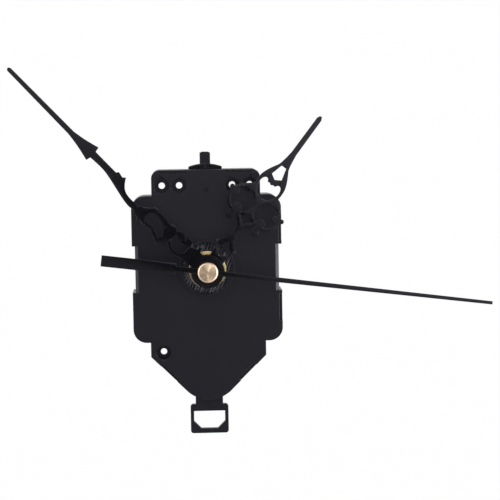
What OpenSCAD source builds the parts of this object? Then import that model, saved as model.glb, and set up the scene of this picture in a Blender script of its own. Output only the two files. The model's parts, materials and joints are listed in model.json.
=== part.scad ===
// Quartz pendulum clock movement with serpentine hands, in millimetres.
// The origin is the stem axis at the front face of the case. The dial side looks towards -Y and
// +Z points to twelve o'clock. Flat outlines are drawn as seen from the dial side, x to the right
// and y upwards, and slab() stands them up in depth, where depth grows from the dial to the wall.

/* [Case] */
// Width of the wide middle block
wide_w = 56; // [54:1:70]
// Height of the wide block above the stem axis
wide_top = 27.4; // [26:0.1:30]
// Corner radius of the wide block
wide_r = 5; // [2:0.5:6]
// Half width of the top block that carries the hanger
top_half_w = 20.3; // [20:0.1:23]
// Height of the top block above the stem axis
top_h = 36.9; // [36:0.1:42]
// Corner radius of the top block
top_r = 3; // [1:0.5:4]
// Half width of the pendulum housing
low_half_w = 21.6; // [21:0.1:24]
// Depth below the stem axis at which the pendulum housing turns into its slopes
low_side_z = 33; // [32:0.5:35]
// Radius of the rounded bottom of the pendulum housing
low_r = 12; // [11:0.5:13]
// Distance from the stem axis down to the bottom of the housing
low_z = 49.5; // [48.5:0.5:52]
// Depth of the case from front face to back face
case_depth = 16; // [15.8:0.2:20]
// Depth at which the front cover meets the back case
seam_d = 6; // [5.4:0.1:6.4]
// Thickness of the front wall
front_wall = 1.6; // [1.4:0.1:1.8]
// Thickness of the side walls
side_wall = 1.4; // [1.2:0.1:1.5]
// Thickness of the back wall
back_wall = 1.4; // [1:0.1:1.4]
// Half height of the finger recess in each side
recess_half_h = 8.7; // [6:0.1:9]
// Depth of the finger recess
recess_d = 1.1; // [0.6:0.1:1.1]
// Size of the bevel on the front edge of the recess
recess_bevel = 1.2; // [0.4:0.1:1.4]
// Radius of the knurled boss around the stem
boss_r = 10.4; // [9.8:0.1:12]
// Height of the knurled boss
boss_h = 0.8; // [0.5:0.1:1.2]
// Radius of the knurled field on the boss
knurl_r = 9; // [8:0.1:9.4]
// Distance between the knurling grooves
knurl_pitch = 1.13; // [0.9:0.01:1.6]
// Depth of the knurling grooves
knurl_d = 0.35; // [0.2:0.05:0.45]
// Lean of the grooves from the horizontal, in degrees
knurl_lean = 68; // [55:1:80]
// Radius of the dimple above the stem
dimple_r = 0.9; // [0.5:0.1:1.5]
// Distance of the dimple below the top edge of the case
dimple_drop = 7.7; // [7:0.1:9]

/* [Screw holes and snaps] */
// Distance of the inner two top holes from the centre line
hole_in_x = 9.9; // [9.6:0.1:10.2]
// Distance of the outer two top holes from the centre line
hole_out_x = 16.4; // [16:0.1:16.8]
// Distance of the top holes below the top edge of the case
hole_drop = 5.8; // [5:0.1:6]
// Distance of the lower hole to the left of the stem axis
hole_low_x = 16.8; // [16:0.1:17]
// Distance of the lower hole below the stem axis
hole_low_z = 31.3; // [31:0.1:32]
// Radius of the screw holes
hole_r = 1.2; // [1:0.1:1.6]
// Radius of the counterbores on the front
counterbore_r = 2.6; // [2:0.1:2.7]
// Depth of the counterbores
counterbore_d = 3; // [2:0.1:3.4]
// Thickness of the web that a screw clamps
hole_web = 1.2; // [0.8:0.1:1.4]
// Wall of the tube around each screw hole
hole_tube_wall = 0.6; // [0.5:0.1:0.6]
// Width of the snap slots, measured in from the edge
snap_w = 1.1; // [0.8:0.1:1.2]
// Distance from the centre line to the near end of the top slots
snap_top_x0 = 6.9; // [6.8:0.1:9]
// Distance from the centre line to the far end of the top slots
snap_top_x1 = 17.2; // [14:0.1:17.2]
// Height of the ends of the slots in the right side
snap_side_z0 = 10; // [9.8:0.1:12]
// Height of the far ends of the slots in the right side
snap_side_z1 = 20; // [16:0.1:21]
// Distance along the slope from its upper corner to the slope slots
snap_slope_s0 = 5.2; // [4:0.1:7]
// Length of the slope slots
snap_slope_len = 8.3; // [5:0.1:9]
// How far the snap tongues stay behind the front face
snap_sunk = 1.1; // [0.4:0.1:1.4]

/* [Stem and nut] */
// Outer radius of the threaded bush
bush_r = 4; // [3.6:0.1:4.5]
// Length of the bush in front of the case
bush_len = 10; // [9:0.5:10]
// Radius of the flange behind the front wall
bush_flange_r = 6; // [5:0.1:6.8]
// Thickness of the flange
bush_flange_t = 0.8; // [0.6:0.1:0.9]
// Chamfer at the free end of the bush
bush_chamfer = 0.4; // [0.1:0.1:0.6]
// Distance across the flats of the nut
nut_af = 10; // [9.6:0.1:11]
// Thickness of the nut
nut_t = 2.6; // [2:0.1:3]
// Distance from the end of the bush back to the nut
nut_set_back = 1.2; // [0.4:0.1:1.6]
// Radius of the washer
washer_r = 6.9; // [6:0.1:8]
// Thickness of the washer
washer_t = 0.8; // [0.5:0.1:1]
// Outer radius of the hour pipe
hour_pipe_r = 2.5; // [2.4:0.05:2.6]
// Outer radius of the minute pipe
minute_pipe_r = 1.6; // [1.5:0.05:1.7]
// Radius of the seconds arbor
second_arbor_r = 0.5; // [0.4:0.05:0.6]

/* [Hands] */
// Thickness of the hands
hand_t = 0.4; // [0.3:0.05:0.5]
// Distance of the hour hand in front of the case
hour_hand_h = 12.2; // [12:0.1:12.4]
// Distance of the minute hand in front of the case
minute_hand_h = 14.8; // [14.6:0.1:15]
// Distance of the second hand in front of the case
second_hand_h = 17.6; // [17.4:0.1:18.4]
// Length of the hour hand from the stem axis
hour_hand_len = 70.2; // [60:0.1:76]
// Length of the minute hand from the stem axis
minute_hand_len = 103.4; // [90:0.1:112]
// Length of the second hand from the stem axis
second_hand_len = 105; // [80:0.1:115]
// Radius of the hub discs of the hour and minute hands
hub_r = 6.15; // [5.6:0.05:6.6]
// Clock angle of the hour hand
hour_angle = 37.3; // [0:0.1:360]
// Clock angle of the minute hand
minute_angle = 316.7; // [0:0.1:360]
// Clock angle of the second hand
second_angle = 97.3; // [0:0.1:360]
// Width of the second hand beside its cap
second_w = 2; // [1.4:0.1:2.4]
// Width of the second hand at its tip
second_tip_w = 1.2; // [0.8:0.1:1.4]
// Distance from the stem axis to the counterweight
weight_from = 11.7; // [9:0.1:16]
// Distance from the stem axis to the end of the counterweight
weight_to = 39; // [30:0.1:44]
// Width of the counterweight
weight_w = 4.1; // [3:0.1:5]
// Length of the collet behind each hand
collet_len = 1.6; // [1.2:0.1:1.7]
// Wall of the collets
collet_wall = 0.8; // [0.6:0.05:1]
// Radius of the cap on the second hand
cap_r = 3.75; // [3:0.05:4.2]
// Thickness of the cap
cap_t = 2; // [1.2:0.1:2.6]
// Bevel around the face of the cap
cap_bevel = 0.5; // [0.2:0.1:0.8]

/* [Wheels] */
// Thickness of every toothed disc
wheel_t = 0.8; // [0.6:0.05:0.85]
// Free gap between discs that pass each other
layer_gap = 0.2; // [0.15:0.05:0.25]
// How far a pinion stands past the disc that it drives
pinion_over = 0.1; // [0.05:0.05:0.1]
// Radius of the plain arbors
arbor_r = 0.4; // [0.3:0.05:0.45]
// Radius of the setting arbor
set_arbor_r = 1.2; // [1:0.05:1.3]
// Axis distance from the centre to the minute wheel
motion_c = 9.6; // [9.6:0.1:10]
// Axis distance from the centre to the intermediate wheel
inter_c = 9; // [9:0.05:9.3]
// Axis distance from the centre to the third wheel
third_c = 9.2; // [9.1:0.05:9.6]
// Axis distance from the third wheel to the rotor
rotor_c = 7; // [6.9:0.05:7.2]
// Share of the pitch that a tooth takes
tooth_share = 0.37; // [0.3:0.01:0.38]
// Height of a tooth above the pitch circle, in modules
tooth_top = 0.65; // [0.6:0.05:0.75]
// Depth of a tooth below the pitch circle, in modules
tooth_root = 1.15; // [1.1:0.05:1.2]
// Thickness of the gear plate
gear_plate_t = 1.4; // [1:0.1:1.4]
// Radius of the setting knob
knob_r = 7.6; // [6:0.1:7.8]
// How far the knob stands out of the back
knob_out = 1; // [0.4:0.1:2]
// Number of grooves around the knob
knob_grooves = 36; // [24:1:48]

/* [Stepping motor] */
// Radius of the rotor magnet
magnet_r = 2.2; // [1.8:0.1:2.3]
// Length of the rotor magnet
magnet_len = 2.4; // [1.6:0.1:2.6]
// Thickness of the stator and of the coil core
stator_t = 0.8; // [0.6:0.1:0.8]
// Half length of the stator
stator_half_w = 14.8; // [14.8:0.1:15.4]
// Height of the coil above the stem axis
coil_z = 22.6; // [22.5:0.1:22.8]
// Radius of the coil winding
coil_r = 2.6; // [2.2:0.1:2.6]
// Half length of the coil winding
coil_half_w = 8.1; // [6:0.1:8.2]

/* [Electronics and battery] */
// Thickness of the circuit boards
board_t = 1; // [0.8:0.1:1]
// Width of the circuit board
board_w = 7.8; // [7.4:0.1:7.8]
// Lower edge of the circuit board
board_z0 = -8.4; // [-8.5:0.1:-8]
// Upper edge of the circuit board
board_z1 = 20; // [18:0.5:22]
// Top of the battery bay, measured from the stem axis
bay_z1 = -10.6; // [-10.7:0.1:-10.6]
// Thickness of the bay walls above and below the cell
bay_wall = 1; // [0.8:0.1:1]
// Length of the battery bay between the contacts
bay_len = 51; // [50.8:0.1:51]
// Thickness of the minus contact
contact_t = 0.3; // [0.2:0.05:0.35]
// Thickness of the plus contact
plus_t = 0.4; // [0.3:0.05:0.4]

/* [Pendulum] */
// Distance from the stem axis down to the pendulum pivot
pivot_z = 31; // [30.4:0.1:31.2]
// Radius of the pivot pin
pivot_r = 1; // [0.8:0.05:1.1]
// Thickness of the pendulum arm
arm_t = 2.4; // [2:0.1:2.6]
// Depth of the front face of the arm
arm_d = 7.6; // [7.6:0.1:8]
// Half width of the neck that leaves the case
neck_half_w = 5.2; // [4:0.05:5.4]
// Half width of the hook frame
hook_half_w = 7.2; // [6.4:0.1:8]
// Distance from the stem axis down to the top of the hook frame
hook_z0 = 52.4; // [50.5:0.1:54]
// Height of the hook frame
hook_h = 11.1; // [10:0.1:14]
// Width of the side bars of the hook frame
hook_side = 1.3; // [1:0.1:2]
// Width of the bottom bar of the hook frame
hook_bar = 1.8; // [1.4:0.1:3]
// Width of the top bar of the hook frame
hook_top = 2.6; // [1.6:0.1:3]
// Size of the slanted corners at the foot of the hook window
hook_slant = 2.75; // [1:0.05:3.2]
// Largest swing to either side, in degrees
swing_deg = 6; // [3:0.5:6]
// Distance from the stem axis down to the drive magnet
drive_z = 40; // [39.8:0.1:40.2]
// Radius of the drive magnet
drive_r = 4; // [3:0.1:4.2]
// Radius of the pendulum coil
drive_coil_r = 5.7; // [4.5:0.1:5.8]

/* [Hanger] */
// Half width of the hanger base
hanger_half_w = 6.3; // [5.6:0.1:6.6]
// Height of the arched hanger base
hanger_base_h = 2.1; // [1.4:0.1:3]
// Half width of the hanger post
hanger_post_half_w = 1.95; // [1.4:0.05:2.4]
// Height of the hanger above the top of the case
hanger_h = 6.6; // [5.6:0.1:9]
// Thickness of the hook that drops over the wall bracket
hanger_t = 2; // [1.4:0.1:2.2]

/* [Fits] */
// Radial clearance of everything that turns
run_fit = 0.06; // [0.04:0.01:0.08]
// Radial clearance of pressed and pushed parts
push_fit = 0.02; // [0.01:0.01:0.03]
// Clearance of snap tongues and boards in their seats
seat_fit = 0.1; // [0.05:0.05:0.15]

/* [Hidden] */
$fn = 48;
eps = 0.01;

// Colours
black_case = [0.16, 0.16, 0.19];
black_hand = [0.1, 0.1, 0.12];
brass = [0.8, 0.68, 0.42];
rose_gold = [0.76, 0.62, 0.52];
steel = [0.72, 0.73, 0.75];
white_plastic = [0.88, 0.87, 0.83];
copper = [0.72, 0.38, 0.2];
board_green = [0.1, 0.32, 0.18];

// Places in depth, from the dial to the wall
inner_d = front_wall;
flange_d1 = front_wall + bush_flange_t;
hour_d0 = flange_d1 + layer_gap;
hour_d1 = hour_d0 + wheel_t;
cannon_d0 = hour_d1 + layer_gap;
motion_d0 = cannon_d0 + pinion_over;
motion_d1 = motion_d0 + wheel_t;
centre_d0 = motion_d1 + 3 * layer_gap + pinion_over;
centre_d1 = centre_d0 + wheel_t;
cannon_d1 = centre_d0 - layer_gap;
pipe_end_d = centre_d1 + layer_gap;
second_pinion_d0 = pipe_end_d + layer_gap + pinion_over;
inter_d0 = second_pinion_d0 + pinion_over;
inter_d1 = inter_d0 + wheel_t;
second_d0 = inter_d1 + 4 * layer_gap;
second_d1 = second_d0 + wheel_t;
third_d0 = second_d1 + 3 * layer_gap;
third_d1 = third_d0 + wheel_t;
plate_d0 = third_d1 + 4 * layer_gap;
plate_d1 = plate_d0 + gear_plate_t;
back_in_d = case_depth - back_wall;
cup_d0 = back_in_d - back_wall;
arbor_front_d = front_wall - 0.6;
bearing_front_d = front_wall - 0.8;
washer_d1 = -bush_len + nut_set_back + nut_t + washer_t;
nut_d1 = washer_d1 - washer_t;

// Places of the wheel axes, from the stem axis
motion_at = motion_c * [cos(150), sin(150)];
inter_at = inter_c * [cos(30), sin(30)];
third_at = [0, third_c];
rotor_at = [0, third_c + rotor_c];

// Tooth counts
third_n = 48;
third_pinion_n = 8;
rotor_n = 8;
second_n = 40;
second_pinion_n = 8;
inter_n = 60;
inter_pinion_n = 8;
centre_n = 64;
cannon_n = 15;
motion_n = 45;
motion_pinion_n = 12;
hour_n = 48;

// Modules, from the axis distances
motion_m = 2 * motion_c / (cannon_n + motion_n);
hour_m = 2 * motion_c / (motion_pinion_n + hour_n);
centre_m = 2 * inter_c / (inter_pinion_n + centre_n);
inter_m = 2 * inter_c / (second_pinion_n + inter_n);
second_m = 2 * third_c / (third_pinion_n + second_n);
third_m = 2 * rotor_c / (rotor_n + third_n);

// The turn that puts a wheel's teeth in the gaps of its neighbour, which lies at the angle a
function mesh_turn(a, n1, turn1, n2) = a + 180 - (360 / n2) * (0.5 - (a - turn1) * n1 / 360);

second_turn = 0;
third_pinion_turn = mesh_turn(90, second_n, second_turn, third_pinion_n);
rotor_turn = mesh_turn(90, third_n, 0, rotor_n);
second_pinion_turn = 0;
inter_turn = mesh_turn(30, second_pinion_n, second_pinion_turn, inter_n);
inter_pinion_turn = 0;
centre_turn = mesh_turn(210, inter_pinion_n, inter_pinion_turn, centre_n);
cannon_turn = 0;
motion_turn = mesh_turn(150, cannon_n, cannon_turn, motion_n);
motion_pinion_turn = 0;
hour_turn = mesh_turn(330, motion_pinion_n, motion_pinion_turn, hour_n);

// Posts of the front cover
plate_posts = [[12.3, rotor_at[1]], [-12.3, rotor_at[1]], [12.6, -5], [-15.6, -4.5]];
post_r = 1.6;
post_neck_r = 1.1;
post_pin_r = 0.7;
bearing_r = 1.5;
plate_eye_r = 2.6;
drive_post_r = 1.2;
drive_pin_r = 0.6;
bobbin_tube_r = 1.7;
stator_d0 = 5.6;
stator_half_h = 3;
stator_leg_end = 1.3;
stator_leg_w = 4;
coil_screw_x = stator_half_w - stator_leg_w / 2;
coil_d = stator_d0 + stator_t * 1.5;
board_d0 = 8;
board_x1 = wide_w / 2 - recess_d - side_wall - 3 * seat_fit;
board_x0 = board_x1 - board_w;
board_mid = board_x1 - board_w / 2;
board_posts = [[board_mid, 0], [board_mid, 15]];
board_post_r = 1.5;
screw_r = 0.75;

// Pendulum housing: the slope runs from its corner and enters the rounded bottom at a flat angle
low_c = [0, low_r - low_z];
slope_corner = [low_half_w, -low_side_z];
slope_v = low_c - slope_corner;
slope_sink = 0.02;
slope_dir = atan2(slope_v[1], slope_v[0]) + asin((low_r - slope_sink) / norm(slope_v));
slope_out = slope_dir + 90;

// Battery bay
wide_low = 27.6;
bay_z0 = side_wall - wide_low + 0.6;
bay_x0 = side_wall - wide_w / 2 + 0.5;
bay_x1 = bay_x0 + bay_len * (wide_w - 5) / 51;
bay_wall_x = wide_w / 2 - 2 * side_wall;
contact_z0 = bay_z0 + 2.6;
contact_z1 = bay_z1 - 1;
contact_d0 = front_wall + 0.6;
contact_d1 = back_in_d - 0.4;
riser_x = bay_x0 + 0.8;
strip_d1 = 5.2;
lead_x = low_half_w - 2.2;
hole_tube_r = counterbore_r + 0.1 + hole_tube_wall;
hole_rear_r = counterbore_r + 0.1;
hole_top_z = top_h - hole_drop;
screw_holes = [[hole_in_x, hole_top_z], [-hole_in_x, hole_top_z], [hole_out_x, hole_top_z],
    [-hole_out_x, hole_top_z], [-hole_low_x, -hole_low_z]];

// Pendulum
arm_d1 = arm_d + arm_t;
slot_half_w = neck_half_w + (low_z - pivot_z) * sin(swing_deg) + 1.2;
drive_board_d0 = front_wall + 0.6;
drive_board_d1 = drive_board_d0 + 0.8;
drive_board_w = 25;
drive_posts = [[9.5, 3.5 - drive_z], [-9.5, 3.5 - drive_z]];
bobbin_flange = 0.5;
bobbin_d1 = arm_d - 1.3;

// Hands
hour_drawn_len = 69.7;
minute_drawn_len = 104;
hour_k = hour_hand_len / hour_drawn_len;
minute_k = minute_hand_len / minute_drawn_len;

// Helpers: a flat outline stood up between two depths, a disc, a box and a smooth line

module slab(d0, d1) {
    translate([0, d1, 0]) rotate([90, 0, 0]) linear_extrude(d1 - d0) children();
}

module disc(at, d0, d1, r) {
    translate([at[0], d1, at[1]]) rotate([90, 0, 0]) cylinder(h = d1 - d0, r = r);
}

module ring(at, d0, d1, r, bore) {
    difference() {
        disc(at, d0, d1, r);
        disc(at, d0 - 1, d1 + 1, bore);
    }
}

module box(x, d, z) {
    translate([x[0], d[0], z[0]]) cube([x[1] - x[0], d[1] - d[0], z[1] - z[0]]);
}

// A profile turned about the depth axis; its y runs towards the dial
module turned(at) {
    translate([at[0], 0, at[1]]) rotate([90, 0, 0]) rotate_extrude() children();
}

module rounded(x0, y0, x1, y1, r) {
    translate([x0 + r, y0]) square([x1 - x0 - 2 * r, y1 - y0]);
    translate([x0, y0 + r]) square([x1 - x0, y1 - y0 - 2 * r]);
    for (x = [x0 + r, x1 - r], y = [y0 + r, y1 - r]) translate([x, y]) circle(r);
}

function polar(r, a) = [r * cos(a), r * sin(a)];

// One point of the smooth curve between b and c, with neighbours a and d, at t from 0 to 1
function bend(a, b, c, d, t) = b + (c - a) * t / 2 + (2 * a - 5 * b + 4 * c - d) * t * t / 2
    + (3 * (b - c) + d - a) * t * t * t / 2;

// A stroke runs smoothly through its points; two points alone are a straight line. Its last point
// is left to the next stroke, which starts there with a corner.
function stroke(p, steps = 4) =
    len(p) == 2 ? [p[0]] :
    [for (i = [0:len(p) - 2], k = [0:steps - 1])
        bend(p[max(i - 1, 0)], p[i], p[i + 1], p[min(i + 2, len(p) - 1)], k / steps)];

function outline(strokes) = [for (s = strokes) each stroke(s)];

// The strokes of a right half, from bottom to top, closed by their mirror image
function both_halves(strokes) = let (p = outline(strokes), last = strokes[len(strokes) - 1])
    concat(p, [last[len(last) - 1]], [for (i = [len(p) - 1:-1:0]) if (p[i][0] != 0) [-p[i][0], p[i][1]]]);

// Toothed wheel outlines

function tooth(m, n, r, a, share) = let (p = 360 / n) [
    polar(r - tooth_root * m, a - 0.65 * share * p),
    polar(r, a - 0.5 * share * p),
    polar(r + tooth_top * m, a - 0.22 * share * p),
    polar(r + tooth_top * m, a + 0.22 * share * p),
    polar(r, a + 0.5 * share * p),
    polar(r - tooth_root * m, a + 0.65 * share * p)];

module teeth(n, m, turn) {
    polygon([for (i = [0:n - 1]) each tooth(m, n, n * m / 2, turn + i * 360 / n, tooth_share)]);
}

module toothed(at, d0, d1, n, m, turn) {
    slab(d0, d1) translate(at) teeth(n, m, turn);
}

// Case

module low_outline(inset) {
    r = low_r - inset;
    x = low_half_w - inset;
    edge = low_c * polar(1, slope_out) + r - slope_sink;
    z = (edge - cos(slope_out) * x) / sin(slope_out);
    touch = low_c + polar(r - slope_sink, slope_out);
    polygon([[-x, 0], [-x, z], [-touch[0], touch[1]], touch, [x, z], [x, 0]]);
    translate(low_c) circle(r);
}

module case_outline(inset) {
    difference() {
        rounded(-wide_w / 2 + inset, -wide_low + inset, wide_w / 2 - inset, wide_top - inset, wide_r - inset);
        for (s = [-1, 1]) translate([s * (wide_w / 2 - recess_d - inset + 5), 0])
            square([10, 2 * (recess_half_h + inset)], center = true);
    }
    rounded(-top_half_w + inset, 0, top_half_w - inset, top_h - inset, top_r - inset);
    low_outline(inset);
}

// Boxes along the edge where the snap slots lie: w deep from the edge, and c longer at each end.
// The slots run out of the case, and the tongues stay a hair inside it.
module snap_places(d0, d1, w, c) {
    out = c > 0 ? 1 : -slope_sink;
    for (s = [-1, 1]) {
        box(s > 0 ? [snap_top_x0 - c, snap_top_x1 + c] : [-snap_top_x1 - c, -snap_top_x0 + c],
            [d0, d1], [top_h - w, top_h + out]);
        box([wide_w / 2 - w, wide_w / 2 + out], [d0, d1],
            s > 0 ? [snap_side_z0 - c, snap_side_z1 + c] : [-snap_side_z1 - c, -snap_side_z0 + c]);
    }
    for (s = [0, 1]) mirror([s, 0, 0])
        translate([slope_corner[0], 0, slope_corner[1]]) rotate([0, -slope_dir, 0])
            box([snap_slope_s0 - c, snap_slope_s0 + snap_slope_len + c], [d0, d1], [-w, out]);
}

module knurling() {
    count = floor(knurl_r / knurl_pitch);
    intersection() {
        for (i = [-count:count]) rotate([0, -knurl_lean, 0]) translate([0, -boss_h, i * knurl_pitch])
            rotate([90, 0, 90]) linear_extrude(3 * knurl_r, center = true)
                polygon([[-1, -0.36 * knurl_pitch * (1 + 1 / knurl_d)],
                    [knurl_d, 0], [-1, 0.36 * knurl_pitch * (1 + 1 / knurl_d)]]);
        disc([0, 0], -boss_h - 1, 0, knurl_r);
    }
}

module front_cover() {
    color(black_case) difference() {
        union() {
            difference() {
                slab(0, seam_d) case_outline(0);
                slab(inner_d, seam_d + 1) case_outline(side_wall);
            }
            disc([0, 0], -boss_h, front_wall, boss_r);
            for (p = screw_holes) disc(p, front_wall / 2, seam_d, hole_tube_r);
            for (p = [third_at, inter_at, motion_at, rotor_at]) disc(p, front_wall / 2, flange_d1, bearing_r);
            for (i = [0, 1]) {
                disc(plate_posts[i], front_wall / 2, stator_d0, post_r);
                disc(plate_posts[i], front_wall / 2, plate_d0, post_neck_r);
                disc(plate_posts[i + 2], front_wall / 2, plate_d0, post_r);
            }
            for (p = plate_posts) disc(p, front_wall / 2, plate_d1 - 0.2, post_pin_r);
            for (s = [-1, 1]) disc([s * coil_screw_x, coil_z], front_wall / 2, stator_d0, post_r);
            for (p = board_posts) {
                disc(p, front_wall / 2, board_d0, board_post_r);
                disc(p, front_wall / 2, board_d0 + board_t + 0.3, post_pin_r);
            }
            disc([0, -pivot_z], front_wall / 2, front_wall + 2.4, pivot_r + 1.2);
            for (p = drive_posts) {
                disc(p, front_wall / 2, drive_board_d0, drive_post_r);
                disc(p, front_wall / 2, drive_board_d1 + 0.3, drive_pin_r);
            }
        }
        disc([0, 0], -boss_h - 1, front_wall + 1, bush_r + push_fit);
        knurling();
        for (p = screw_holes) {
            disc(p, -1, counterbore_d, counterbore_r);
            disc(p, -1, seam_d + 1, hole_r);
            disc(p, counterbore_d + hole_web, seam_d + 1, hole_rear_r);
        }
        for (p = [third_at, inter_at, motion_at]) disc(p, bearing_front_d, flange_d1 + 1, arbor_r + run_fit);
        disc(rotor_at, bearing_front_d, flange_d1 + 1, arbor_r + run_fit);
        disc([0, -pivot_z], front_wall, front_wall + 3, pivot_r + push_fit);
        for (s = [-1, 1]) disc([s * coil_screw_x, coil_z], front_wall + 1, stator_d0 + 1, screw_r + push_fit);
        disc([0, top_h - dimple_drop], -1, 0.6, dimple_r);
        snap_places(-1, seam_d + 1, snap_w, seat_fit / 2);
        snap_places(front_wall, seam_d + 1, side_wall + eps, seat_fit / 2);
        for (s = [0, 1]) mirror([s, 0, 0]) translate([wide_w / 2 - recess_d, 0, 0])
            linear_extrude(2 * recess_half_h, center = true)
                polygon([[-recess_bevel, -eps], [recess_bevel, -eps],
                    [recess_bevel, 2 * recess_bevel], [0, recess_bevel]]);
    }
}

// Gaps in the bay walls for the contact strips and the wires
module wire_gaps(d0) {
    z = [bay_z1 - eps, bay_z1 + bay_wall + 1];
    box([bay_x1 - 0.7, bay_x1 + 0.6], [d0, board_d0 + 4.2], z);
    box([riser_x - 0.2, riser_x + 0.5], [d0, strip_d1 + 0.2], z);
    box([lead_x - 0.6, lead_x + 0.6], [d0, 3.4], [bay_z0 - bay_wall - 1, bay_z0 + eps]);
}

module back_case() {
    bay_front = front_wall + seat_fit;
    color(black_case) difference() {
        union() {
            difference() {
                slab(seam_d, case_depth) case_outline(0);
                slab(seam_d - 1, back_in_d) case_outline(side_wall);
            }
            snap_places(snap_sunk, seam_d + 1, snap_w - seat_fit, -seat_fit / 2);
            box([-wide_w / 2 + side_wall / 2, wide_w / 2 - side_wall / 2], [seam_d, case_depth - eps],
                [bay_z1, bay_z1 + bay_wall]);
            box([-bay_wall_x, bay_wall_x], [bay_front, seam_d + 1], [bay_z1, bay_z1 + bay_wall]);
            box([-low_half_w, low_half_w], [seam_d, case_depth - eps], [bay_z0 - bay_wall, bay_z0]);
            box([2 * side_wall - low_half_w, low_half_w - 2 * side_wall], [bay_front, seam_d + 1],
                [bay_z0 - bay_wall, bay_z0]);
            for (p = screw_holes) disc(p, seam_d, case_depth, hole_tube_r);
            disc(motion_at, cup_d0, case_depth, knob_r + 2.2);
            disc([0, -pivot_z], arm_d1 + 2, case_depth - eps, pivot_r + 1.2);
        }
        for (p = screw_holes) disc(p, seam_d - 1, case_depth + 1, hole_rear_r);
        disc(motion_at, back_in_d, case_depth + 1, knob_r + 0.6);
        disc(motion_at, cup_d0 - 1, case_depth + 1, set_arbor_r + run_fit);
        disc([0, -pivot_z], arm_d1, back_in_d, pivot_r + push_fit);
        box([bay_x0, bay_x1], [back_in_d - 1, case_depth + 1], [bay_z0 + 0.2, bay_z1 - 0.2]);
        wire_gaps(bay_front - 1);
        box([-slot_half_w, slot_half_w], [arm_d - 0.7, arm_d1 + 0.9], [-low_z - 1, -low_z + 5]);
        box([-2.6, 2.6], [8.6, 11.4], [top_h - side_wall - 1, top_h + 1]);
    }
}

// Hanger: an arched foot with two blind pockets, and a hook that drops over a wall bracket

module hanger_arch(inset) {
    half = hanger_half_w - inset;
    intersection() {
        rounded(-half, top_h - 3, half, top_h + hanger_base_h - inset, 1.5 - inset);
        translate([0, top_h + hanger_base_h - 18]) circle(18 - inset);
        translate([-half, top_h]) square([2 * half, hanger_base_h]);
    }
}

module wall_hanger() {
    front = 6.8;
    arch_d1 = 13.2;
    tongue_d = [8.7, 11.3];
    top = top_h + hanger_h;
    color(black_case) {
        difference() {
            slab(front, arch_d1) hanger_arch(0);
            slab(front - 1, front + 2) difference() {
                hanger_arch(0.7);
                translate([-0.7, top_h]) square([1.4, hanger_base_h]);
            }
        }
        slab(front + 1, front + 1 + hanger_t) {
            translate([-hanger_post_half_w, top_h]) square([2 * hanger_post_half_w, hanger_h - 1]);
            rounded(-hanger_post_half_w, top - 3, hanger_post_half_w, top, 1);
        }
        box([-hanger_post_half_w, hanger_post_half_w], [front + 1, case_depth],
            [top - hanger_t, top - 0.4]);
        box([-hanger_post_half_w, hanger_post_half_w], [case_depth - 1.8, case_depth],
            [top_h + hanger_base_h, top - 0.4]);
        box([-2.5, 2.5], tongue_d, [top_h - side_wall - 0.6, top_h + eps]);
    }
}

// Stem

module threaded_bush() {
    bore = hour_pipe_r + run_fit;
    color(brass) turned([0, 0]) polygon([[bore, -flange_d1], [bush_flange_r, -flange_d1],
        [bush_flange_r, -front_wall], [bush_r, -front_wall], [bush_r, bush_len - bush_chamfer],
        [bush_r - bush_chamfer, bush_len], [bore, bush_len]]);
}

module brass_washer() {
    color(brass) ring([0, 0], washer_d1 - washer_t, washer_d1, washer_r, bush_r + 5 * push_fit);
}

module hex_nut() {
    color(brass) difference() {
        slab(nut_d1 - nut_t, nut_d1) rotate(30) circle(r = nut_af / 2 / cos(30), $fn = 6);
        disc([0, 0], nut_d1 - nut_t - 1, nut_d1 + 1, bush_r + push_fit);
    }
}

// Frame of the train

module gear_plate() {
    c = plate_posts;
    color(white_plastic) difference() {
        slab(plate_d0, plate_d1) {
            polygon([c[0], c[1], c[3], c[2]]);
            for (p = c) translate(p) circle(plate_eye_r);
            translate(rotor_at) circle(plate_eye_r);
        }
        for (p = c) disc(p, plate_d0 - 1, plate_d1 + 1, post_pin_r + push_fit);
        for (p = [third_at, inter_at, rotor_at])
            disc(p, plate_d0 - 1, plate_d1 + 1, arbor_r + run_fit);
        disc([0, 0], plate_d0 - 1, plate_d1 + 1, second_arbor_r + run_fit);
        disc(motion_at, plate_d0 - 1, plate_d1 + 1, set_arbor_r + run_fit);
    }
}

// Stepping motor

module stator() {
    z0 = rotor_at[1] - stator_half_h;
    z1 = rotor_at[1] + stator_half_h;
    color(steel) difference() {
        slab(stator_d0, stator_d0 + stator_t) {
            translate([-stator_half_w, z0]) square([2 * stator_half_w, z1 - z0]);
            for (x = [-stator_half_w, stator_half_w - stator_leg_w])
                translate([x, z0]) square([stator_leg_w, coil_z + stator_leg_end - z0]);
        }
        disc(rotor_at, stator_d0 - 1, stator_d0 + 2, magnet_r + 0.3);
        for (i = [0, 1]) disc(plate_posts[i], stator_d0 - 1, stator_d0 + 2, post_neck_r + push_fit);
        for (s = [-1, 1]) disc([s * coil_screw_x, coil_z], stator_d0 - 1, stator_d0 + 2, screw_r + push_fit);
    }
}

module coil_core() {
    d0 = stator_d0 + stator_t;
    color(steel) difference() {
        box([-stator_half_w, stator_half_w], [d0, d0 + stator_t], [coil_z - 1, coil_z + 1]);
        for (s = [-1, 1]) disc([s * coil_screw_x, coil_z], d0 - 1, d0 + 2, screw_r + push_fit);
    }
}

module along_coil(half_len, r) {
    translate([-half_len, coil_d, coil_z]) rotate([0, 90, 0]) cylinder(h = 2 * half_len, r = r);
}

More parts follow.
